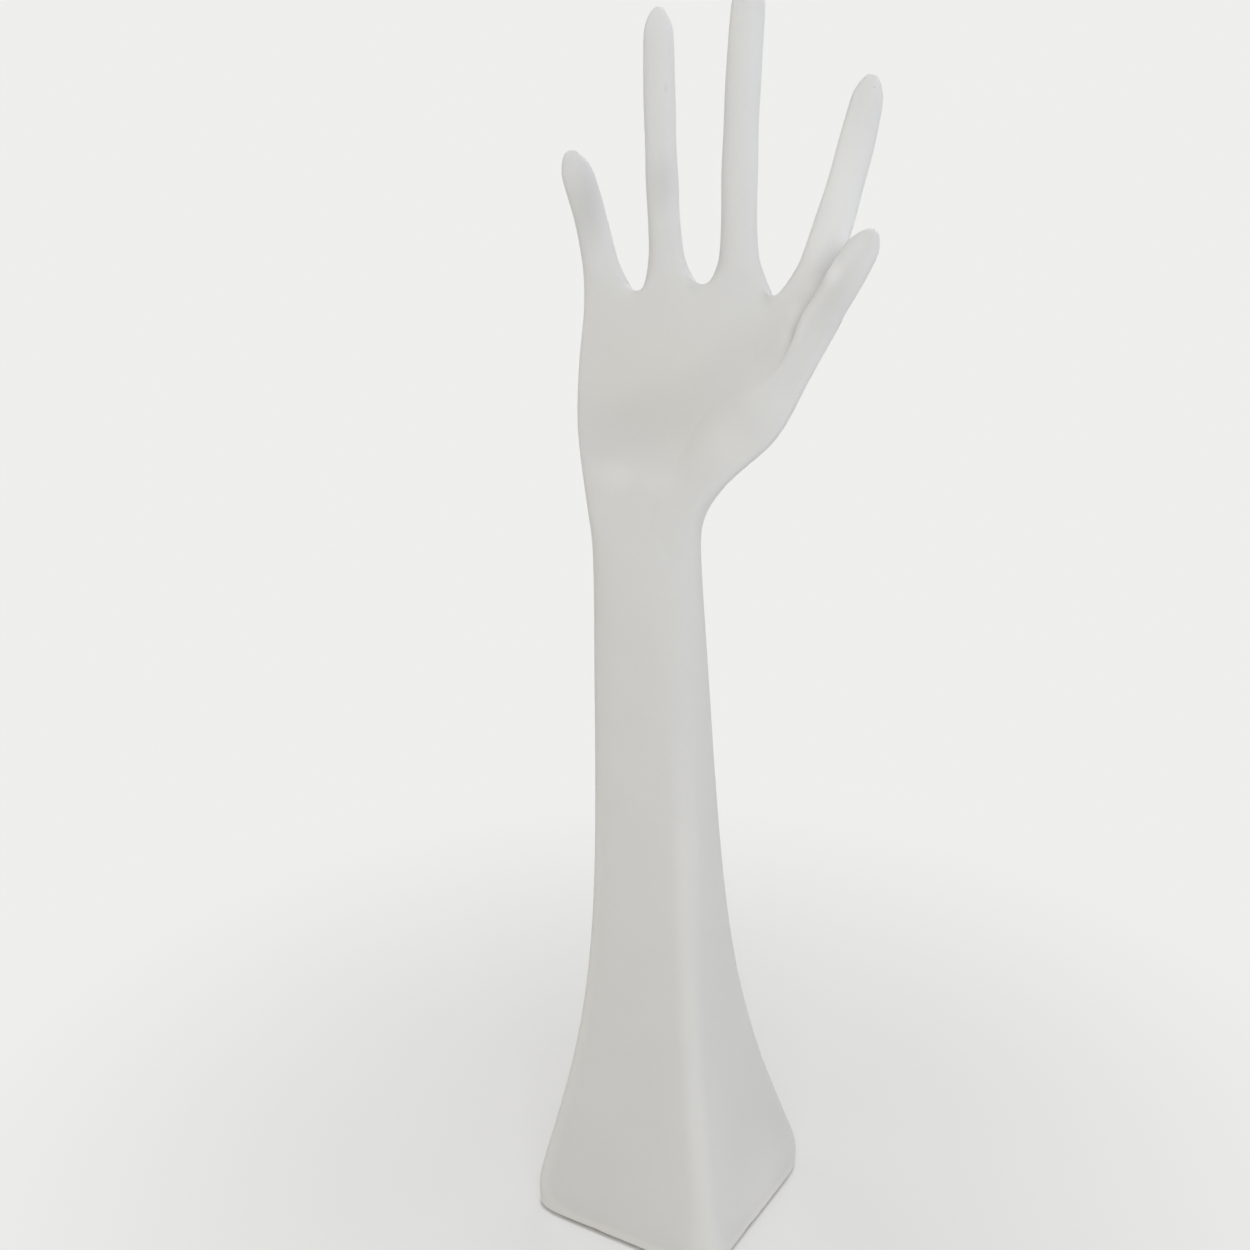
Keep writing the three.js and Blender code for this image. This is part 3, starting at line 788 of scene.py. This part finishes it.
@dataclass(frozen=True)
class HandCasting:
    """The hand, forearm and foot: a smooth skin through the part's own points."""

    node: str = "hand_casting"
    slot: str = "resin"
    sharp_angle: float = math.radians(38)
    edge_angle: float = math.radians(75)
    machined_below: float = 40 * MM
    levels: int = 2
    fitting_rounds: int = 3
    evening_rounds: int = 2
    foot_edge: float = 9 * MM
    flaws: tuple[Mark, ...] = (
        Mark(pixel=(665.5, 88), radius=0.7 * MM, stretch=2.6, depth=0.16 * MM, shade=0.06),
        Mark(pixel=(874, 87), radius=0.45 * MM, stretch=1.2, depth=0.2 * MM, shade=0.16),
        Mark(pixel=(585, 167), radius=0.5 * MM, stretch=2.4, depth=0.14 * MM, shade=0.06),
    )
    # Painted shade, painted highlights and painted warm bounce light on the hand, arm and foot, as patches
    # that darken or lighten the paint where the light falls; none of them is a mark of the paint itself.
    painted_light_and_shade: tuple[Mark, ...] = (
        Mark(pixel=(655, 380), radius=46 * MM, stretch=1.0, shade=0.02, painted_bounce=1.0),
        Mark(pixel=(626, 424), radius=17 * MM, stretch=0.85, shade=0.018),
        Mark(pixel=(726, 444), radius=15 * MM, stretch=1.0, shade=-0.04),
        Mark(pixel=(768, 405), radius=12 * MM, stretch=1.0, shade=-0.02),
        Mark(pixel=(614, 475), radius=12 * MM, stretch=0.6, shade=-0.04),
        Mark(pixel=(660, 482), radius=12 * MM, stretch=0.6, shade=-0.03),
        Mark(pixel=(588, 205), radius=9 * MM, stretch=2.4, shade=0.11),
        Mark(pixel=(662, 185), radius=7 * MM, stretch=2.0, shade=0.07),
        Mark(pixel=(836, 302), radius=16 * MM, stretch=1.4, shade=0.06),
        Mark(pixel=(868, 235), radius=9 * MM, stretch=1.0, shade=0.05),
        Mark(pixel=(836, 190), radius=16 * MM, stretch=2.6, shade=-0.08),
        Mark(pixel=(742, 140), radius=14 * MM, stretch=4.0, shade=-0.01),
        Mark(pixel=(808, 248), radius=10 * MM, stretch=1.6, shade=-0.06),
        Mark(pixel=(712, 1165), radius=26 * MM, stretch=2.4, shade=-0.04),
        Mark(pixel=(765, 1190), radius=34 * MM, stretch=1.0, shade=-0.07, painted_bounce=0.4),
        Mark(pixel=(630, 287), radius=3.5 * MM, stretch=1.6, shade=0.06),
        Mark(pixel=(694, 283), radius=3.5 * MM, stretch=1.6, shade=0.05),
        Mark(pixel=(769, 294), radius=3.5 * MM, stretch=1.6, shade=0.07),
        Mark(pixel=(846, 243), radius=6 * MM, stretch=1.2, shade=-0.11),
        Mark(pixel=(831, 268), radius=6 * MM, stretch=1.2, shade=-0.12),
        Mark(pixel=(815, 292), radius=6 * MM, stretch=1.2, shade=-0.12),
        Mark(pixel=(801, 316), radius=6 * MM, stretch=1.2, shade=-0.11),
        Mark(pixel=(789, 340), radius=6 * MM, stretch=1.2, shade=-0.08),
    )
    # Painted highlight along the thumb's crest (the first two strokes) and painted shade in the palm's hollow
    # (the last).
    strokes: tuple[Stroke, ...] = (
        Stroke(
            pixels=((862, 241), (846, 262), (830, 284), (817, 301), (805, 319), (797, 338), (783, 356)),
            radius=2.8 * MM,
            shade=-0.04,
        ),
        Stroke(pixels=((777, 364), (764, 381), (744, 402)), radius=4.5 * MM, shade=-0.012),
        Stroke(
            pixels=((606, 434), (640, 424), (690, 404), (726, 380), (750, 354)),
            radius=15 * MM,
            core=3 * MM,
            shade=0.03,
        ),
    )

    def _cage(self) -> bpy.types.Mesh:
        """Pairs the part's triangles to quads and marks its machined edges as sharp.

        Returns:
            The cage, on the part's own points.
        """
        shape = welded_copy(self.node)
        bmesh.ops.join_triangles(
            shape, faces=shape.faces, angle_face_threshold=self.edge_angle, angle_shape_threshold=math.pi
        )
        crease = shape.edges.layers.float.new("crease_edge")
        for edge in shape.edges:
            machined = max(vert.co.z for vert in edge.verts) < self.machined_below
            if edge.calc_face_angle(0.0) > (self.sharp_angle if machined else self.edge_angle):
                edge[crease] = 1.0
        mesh = bpy.data.meshes.new(self.node)
        shape.to_mesh(mesh)
        shape.free()
        return mesh

    def _fit(self, piece: bpy.types.Object) -> None:
        """Moves the cage until the smooth skin passes through the part's points.

        Args:
            piece: The cage's object, with its smoothing modifier.
        """
        mesh = piece.data
        wanted = points_of(mesh)
        for _ in range(self.fitting_rounds):
            skin = evaluated_mesh(piece)
            moved = points_of(mesh) + wanted - points_of(skin)[: len(wanted)]
            mesh.vertices.foreach_set("co", moved.ravel())
            mesh.update()
            bpy.data.meshes.remove(skin)

    def _write(self, mesh: bpy.types.Mesh, name: str, values: np.ndarray) -> None:
        """Evens a number out over neighbouring points and gives it to the cage.

        Args:
            mesh: The cage.
            name: Name that the number goes by.
            values: The number at each point.
        """
        edges = edges_of(mesh)
        first, second = edges.T
        size = len(values)
        count = np.bincount(edges.ravel(), minlength=size)
        for _ in range(self.evening_rounds):
            total = np.bincount(first, values[second], size) + np.bincount(second, values[first], size)
            values = 0.5 * (values + total / count)
        layer = mesh.attributes.new(name, "FLOAT", "POINT")
        layer.data.foreach_set("value", values.astype(np.float32))

    def _mark_crests(self, mesh: bpy.types.Mesh, skin: bpy.types.Mesh) -> None:
        """Tells the cage how strongly the skin bulges at each point, as one over a radius.

        Args:
            mesh: The cage.
            skin: The smooth skin, which starts with the cage's points.
        """
        size = len(mesh.vertices)
        points = points_of(skin)[:size].astype(float)
        normals = np.empty(3 * len(skin.vertices), np.float32)
        skin.vertex_normals.foreach_get("vector", normals)
        normals = normals.reshape(-1, 3)[:size]
        pairs = edges_of(mesh)
        here, there = np.concatenate([pairs, pairs[:, ::-1]]).T
        step = points[there] - points[here]
        bulge = -2 * (normals[here] * step).sum(1) / (step * step).sum(1)
        self._write(mesh, "crest", np.bincount(here, bulge, size) / np.bincount(here, minlength=size))

    def build(self) -> bpy.types.Object:
        """Makes the skin in place of the part.

        Returns:
            The piece.
        """
        piece = new_piece("hand_skin", self._cage())
        smoother = piece.modifiers.new("smooth", "SUBSURF")
        smoother.levels = smoother.render_levels = self.levels
        self._fit(piece)
        skin = evaluated_mesh(piece)
        self._mark_crests(piece.data, skin)
        bpy.data.meshes.remove(skin)
        skin = evaluated_mesh(piece)
        piece.modifiers.clear()
        piece.data = skin
        skin.vertices.foreach_set("co", np.clip(points_of(skin), *CAD_BOX).astype(np.float32).ravel())
        skin.update()
        skin.polygons.foreach_set("use_smooth", [True] * len(skin.polygons))
        skin.set_sharp_from_angle(angle=self.sharp_angle)
        return piece

    def dress(self, piece: bpy.types.Object, finish: ResinPaint, view: View) -> None:
        """Paints the skin, with its flaws and its painted shade and highlights where they show in the view,
        and takes the part's place.

        Args:
            piece: The skin.
            finish: Its paint.
            view: The view that the marks' pixels belong to.
        """
        shape = bmesh.new()
        shape.from_mesh(piece.data)
        tree = BVHTree.FromBMesh(shape)

        def on_skin(pixel: Pixel) -> Vector | None:
            """The place on the skin that shows at a pixel."""
            return tree.ray_cast(Vector(view.place), view.ray(pixel))[0]

        placed = [(on_skin(mark.pixel), mark) for mark in (*self.flaws, *self.painted_light_and_shade)]
        marks = [(place, mark) for place, mark in placed if place is not None]
        strokes = []
        for stroke in self.strokes:
            path = [place for place in map(on_skin, stroke.pixels) if place is not None]
            if len(path) > 1:
                strokes.append((path, stroke))
        shape.free()
        piece.data.materials.clear()
        piece.data.materials.append(finish.material(marks, strokes, self.foot_edge))
        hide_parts(self.node)
        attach(piece, BODY)


@dataclass(frozen=True)
class FeltPad:
    """The felt under the foot, with a hand-cut edge and loose fibres along it."""

    node: str = "felt_pad"
    slot: str = "felt"
    edge_round: float = 0.22 * MM
    edge_wander: float = 0.14 * MM
    wander_size: float = 1.3 * MM
    fibre_length: float = 0.9 * MM
    fibre_radius: float = 0.018 * MM
    fibre_density: float = 9.0e6
    fibre_floor: float = 0.6 * MM
    fibre_bow: float = 0.2
    fibre_rise: float = 0.5
    fibre_reach: float = 0.9
    fibre_lean: float = 0.7
    fibre_shortest: float = 0.4
    fibre_steps: int = 3
    fibre_sides: int = 3
    wall_tilt: float = 0.5
    flat_angle: float = math.radians(0.5)
    upright_height: float = 0.5 * MM
    seed: int = 4

    def _cut(self) -> bpy.types.Mesh:
        """Cuts the felt: the part's slab with rounded rims and an edge that wanders inwards.

        Returns:
            The felt's mesh.
        """
        shape = welded_copy(self.node)
        bmesh.ops.dissolve_limit(
            shape,
            angle_limit=self.flat_angle,
            verts=shape.verts,
            edges=shape.edges,
            use_dissolve_boundaries=False,
        )
        walls = [face for face in shape.faces if abs(face.normal.z) < self.wall_tilt]
        wall_edges = dict.fromkeys(edge for face in walls for edge in face.edges)
        rims = []
        for edge in wall_edges:
            first, second = edge.verts
            if abs(first.co.z - second.co.z) <= self.upright_height:
                rims.append(edge)
        bmesh.ops.bevel(
            shape, geom=rims, offset=self.edge_round, segments=2, profile=0.5, affect="EDGES"
        )
        for vert in shape.verts:
            place = vert.co.copy()
            wander = 0.5 + 0.5 * noise.noise(place / self.wander_size)
            flat = Vector((place.x, place.y, 0.0))
            vert.co -= flat.normalized() * wander * self.edge_wander
        mesh = bpy.data.meshes.new(self.node)
        shape.to_mesh(mesh)
        shape.free()
        return mesh

    def _fibre_tree(self, finish: bpy.types.Material) -> bpy.types.NodeTree:
        """The node tree that grows fibres out of a slab's walls.

        Args:
            finish: The fibres' material.

        Returns:
            The tree.
        """
        tree = bpy.data.node_groups.new("felt_fibres", "GeometryNodeTree")
        for name, kind in (
            ("Slab", "NodeSocketGeometry"),
            ("Length", "NodeSocketFloat"),
            ("Radius", "NodeSocketFloat"),
            ("Density", "NodeSocketFloat"),
            ("Lowest", "NodeSocketFloat"),
            ("Seed", "NodeSocketInt"),
        ):
            tree.interface.new_socket(name, in_out="INPUT", socket_type=kind)
        tree.interface.new_socket("Fibres", in_out="OUTPUT", socket_type="NodeSocketGeometry")
        sheet = NodeSheet(tree)
        sockets = sheet.add("NodeGroupInput").outputs
        given = {socket.name: Value(sheet, socket) for socket in sockets if socket.name}
        length, seed = given["Length"], given["Seed"]

        normal = sheet.value("GeometryNodeInputNormal")
        wall = abs(sheet.value("ShaderNodeSeparateXYZ", inputs={0: normal}, output="Z")) < self.wall_tilt
        scatter = sheet.add(
            "GeometryNodeDistributePointsOnFaces",
            inputs={"Mesh": given["Slab"], "Selection": wall, "Density": given["Density"], "Seed": seed},
        )
        place = sheet.value("GeometryNodeInputPosition")
        low = sheet.value("ShaderNodeSeparateXYZ", inputs={0: place}, output="Z") < given["Lowest"]
        points = sheet.value(
            "GeometryNodeDeleteGeometry",
            {"domain": "POINT"},
            {"Geometry": Value(sheet, scatter.outputs["Points"]), "Selection": low},
        )
        bend = {"X": length * self.fibre_bow, "Z": length * self.fibre_rise}
        ends = {
            "Start": (0, 0, 0),
            "Middle": sheet.value("ShaderNodeCombineXYZ", inputs=bend),
            "End": sheet.value("ShaderNodeCombineXYZ", inputs={"Z": length * self.fibre_reach}),
        }
        strand = sheet.value(
            "GeometryNodeCurveQuadraticBezier", inputs={"Resolution": self.fibre_steps, **ends}
        )
        section = sheet.value(
            "GeometryNodeCurvePrimitiveCircle",
            inputs={"Resolution": self.fibre_sides, "Radius": given["Radius"]},
        )
        fibre = sheet.value("GeometryNodeCurveToMesh", inputs={"Curve": strand, "Profile Curve": section})
        most = Vector((self.fibre_lean, self.fibre_lean, math.pi))
        lean = sheet.value(
            "FunctionNodeRandomValue", {"data_type": "FLOAT_VECTOR"}, {0: -most, 1: most, "Seed": seed}
        )
        turn = sheet.value("FunctionNodeEulerToRotation", inputs={0: lean})
        turn = sheet.value(
            "FunctionNodeRotateRotation",
            {"rotation_space": "LOCAL"},
            {0: Value(sheet, scatter.outputs["Rotation"]), 1: turn},
        )
        size = sheet.value(
            "FunctionNodeRandomValue", inputs={2: self.fibre_shortest, 3: 1.0, "Seed": seed}, output=1
        )
        fibres = sheet.value(
            "GeometryNodeInstanceOnPoints",
            inputs={"Points": points, "Instance": fibre, "Rotation": turn, "Scale": size},
        )
        fibres = sheet.value("GeometryNodeRealizeInstances", inputs={0: fibres})
        fibres = sheet.value("GeometryNodeSetMaterial", inputs={"Geometry": fibres, "Material": finish})
        sheet.add("NodeGroupOutput", inputs={0: fibres})
        return tree

    def _fibres(self, felt: bpy.types.Object, finish: bpy.types.Material) -> bpy.types.Object:
        """Grows the loose fibres on the felt's edge.

        Args:
            felt: The cut felt.
            finish: Its material.

        Returns:
            The fibres as one piece.
        """
        piece = new_piece("felt_fibres", felt.data.copy())
        grower = piece.modifiers.new("fibres", "NODES")
        grower.node_group = self._fibre_tree(finish)
        sizes = {
            "Length": self.fibre_length,
            "Radius": self.fibre_radius,
            "Density": self.fibre_density,
            "Lowest": self.fibre_floor,
            "Seed": self.seed,
        }
        for socket in grower.node_group.interface.items_tree:
            if socket.name in sizes:
                grower[socket.identifier] = sizes[socket.name]
        grown = evaluated_mesh(piece)
        piece.modifiers.clear()
        piece.data = grown
        return piece

    def build(self, finish: PressedFelt) -> tuple[bpy.types.Object, bpy.types.Object]:
        """Makes the felt and its fibres in place of the part.

        Args:
            finish: The felt's finish.

        Returns:
            The felt and the fibres.
        """
        felt = new_piece("felt_sheet", self._cut())
        material = finish.material()
        felt.data.materials.clear()
        felt.data.materials.append(material)
        fibres = self._fibres(felt, material)
        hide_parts(self.node)
        for piece in (felt, fibres):
            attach(piece, BODY)
        return felt, fibres


@dataclass(frozen=True)
class InnerParts:
    """The plate, the weight and the wires, which keep their own shapes."""

    plate: str = "base_plate"
    weight: str = "ballast_weight"
    wires: tuple[str, ...] = ("little_wire", "ring_wire", "middle_wire", "index_wire", "thumb_wire")

    def dress(self, board: Fibreboard, iron: CastIron, steel: DrawnWire) -> list[bpy.types.Object]:
        """Gives each part its finish.

        Args:
            board: Finish of the plate.
            iron: Finish of the weight.
            steel: Finish of the wires.

        Returns:
            The dressed parts.
        """
        finishes = {self.plate: board.material(), self.weight: iron.material()}
        finishes.update(dict.fromkeys(self.wires, steel.material()))
        for node, finish in finishes.items():
            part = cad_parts[node]
            part.data.materials.clear()
            part.data.materials.append(finish)
        return [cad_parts[node] for node in finishes]


class LampTint(Enum):
    """Colours of lamp light."""

    WHITE = (1.0, 1.0, 1.0)
    WARM = (1.0, 0.88, 0.58)
    SOFT_WARM = (1.0, 0.985, 0.95)
    COOL = (0.9, 0.95, 1.0)


@dataclass(frozen=True)
class Lamp:
    """A soft square lamp; its azimuth runs to the right from the camera's own, in degrees."""

    name: str
    azimuth: float
    elevation: float
    power: float
    tint: LampTint = LampTint.WHITE
    distance: float = 1.8
    size: float = 1.3
    aim: float = 0.25


@dataclass(frozen=True)
class Studio:
    """A pale floor under soft light."""

    lamps: tuple[Lamp, ...] = (
        Lamp("front", azimuth=0, elevation=21, power=4.55, distance=0.95, size=0.6, aim=0.39),
        Lamp(
            "front_left",
            azimuth=-60,
            elevation=25,
            power=0.55,
            tint=LampTint.WARM,
            distance=0.9,
            size=0.6,
            aim=0.42,
        ),
        Lamp(
            "front_right",
            azimuth=32,
            elevation=22,
            power=1.78,
            tint=LampTint.COOL,
            distance=0.9,
            size=0.6,
            aim=0.42,
        ),
        Lamp("low_left", azimuth=-45, elevation=8, power=1.5, tint=LampTint.WARM),
        Lamp("right", azimuth=90, elevation=38, power=3.6, tint=LampTint.SOFT_WARM),
        Lamp("top", azimuth=0, elevation=89, power=4.0),
        Lamp("top_left", azimuth=-45, elevation=60, power=1.2),
        Lamp("back_left", azimuth=-122, elevation=20, power=9.0),
        Lamp("back", azimuth=152, elevation=22, power=11.0),
    )
    floor_size: float = 14.0
    floor_drop: float = 0.2 * MM
    floor_colour: Colour = (0.8, 0.795, 0.78)
    paper_white: Colour = (0.86, 0.86, 0.85)
    world_colour: Colour = (1.0, 1.0, 1.0)
    world_strength: float = 0.02
    floor_glow: float = 0.55
    glow_starts: float = 0.06
    glow_full: float = 0.34
    foot_half: float = 39.2 * MM
    foot_squareness: float = 9.0
    contact_line: Span = (0.8, 1.15)
    grain_size: float = 3 * MM
    grain_tone: float = 0.01

    def _floor(self) -> bpy.types.Object:
        """Lays a large plane that stays pale far from the stand and keeps its shadow near it.

        Returns:
            The floor's object.
        """
        half = self.floor_size / 2
        mesh = bpy.data.meshes.new("floor")
        corners = [(-half, -half), (half, -half), (half, half), (-half, half)]
        mesh.from_pydata([(x, y, -self.floor_drop) for x, y in corners], [], [(0, 1, 2, 3)])
        floor = new_piece("floor", mesh)
        sheet = FinishSheet("pale_floor")
        reach = sheet.vector(VectorOp.LENGTH, sheet.place)
        rays = sheet.add("ShaderNodeLightPath")
        seen = Value(sheet, rays.outputs["Is Camera Ray"])
        for kind in ("Is Glossy Ray", "Is Transmission Ray"):
            seen = seen.at_least(Value(sheet, rays.outputs[kind]))
        grain = sheet.noise(self.grain_size, detail=3)
        colour = sheet.tint(self.floor_colour, sheet.grey(1 + grain * self.grain_tone), 1.0, Blend.MULTIPLY)
        near = sheet.value("ShaderNodeBsdfDiffuse", inputs={"Color": colour})
        far = sheet.value("ShaderNodeEmission", inputs={"Color": rgba(self.paper_white)})
        foot = sum(abs(sheet.axis(name) / self.foot_half) ** self.foot_squareness for name in "XY")
        glow = self.floor_glow * foot.rise(*self.contact_line)
        glow = glow + (1 - self.floor_glow) * reach.rise(self.glow_starts, self.glow_full)
        mixed = sheet.value("ShaderNodeMixShader", inputs={0: seen * glow, 1: near, 2: far})
        sheet.add("ShaderNodeOutputMaterial", inputs={"Surface": mixed})
        mesh.materials.append(sheet.material)
        return floor

    def _lamp(self, lamp: Lamp, view: View) -> bpy.types.Object:
        """Hangs a lamp about the stand, turned to the height that it aims at.

        Args:
            lamp: The lamp.
            view: The view that its azimuth starts from.

        Returns:
            The lamp's object.
        """
        data = bpy.data.lights.new(lamp.name, "AREA")
        data.size = lamp.size
        data.energy = lamp.power
        data.color = lamp.tint.value
        turn, rise = math.radians(lamp.azimuth + view.azimuth), math.radians(lamp.elevation)
        away = Vector((math.sin(turn) * math.cos(rise), -math.cos(turn) * math.cos(rise), math.sin(rise)))
        hung = bpy.data.objects.new(lamp.name, data)
        hung.location = Vector((0.0, 0.0, lamp.aim)) + away * lamp.distance
        hung.rotation_euler = (-away).to_track_quat("-Z", "Y").to_euler()
        hung.visible_camera = False
        bpy.context.collection.objects.link(hung)
        return hung

    def build(self, view: View) -> None:
        """Sets the floor, the lamps and the world.

        Args:
            view: The view that the lamps are placed by.
        """
        self._floor()
        for lamp in self.lamps:
            self._lamp(lamp, view)
        world = bpy.data.worlds.new("studio")
        world.use_nodes = True
        sheet = NodeSheet(world.node_tree)
        dim = sheet.value(
            "ShaderNodeBackground", inputs={"Color": rgba(self.world_colour), "Strength": self.world_strength}
        )
        pale = sheet.value("ShaderNodeBackground", inputs={"Color": rgba(self.paper_white)})
        seen = sheet.value("ShaderNodeLightPath", output="Is Camera Ray")
        mixed = sheet.value("ShaderNodeMixShader", inputs={0: seen, 1: dim, 2: pale})
        sheet.add("ShaderNodeOutputWorld", inputs={"Surface": mixed})
        bpy.context.scene.world = world
        bpy.context.scene.view_settings.view_transform = "Standard"


def main() -> None:
    """Builds the stand's pieces in order and reports each."""
    logging.basicConfig(level=logging.INFO, format="%(name)s: %(message)s")
    view = View()
    view.build()
    Studio().build(view)
    hand = HandCasting()
    skin = hand.build()
    hand.dress(skin, ResinPaint(), view)
    pieces = [skin, *FeltPad().build(PressedFelt())]
    pieces += InnerParts().dress(Fibreboard(), CastIron(), DrawnWire())
    for piece in pieces:
        log.info("%s: %d faces", piece.name, len(piece.data.polygons))


if __name__ == "__main__":
    main()
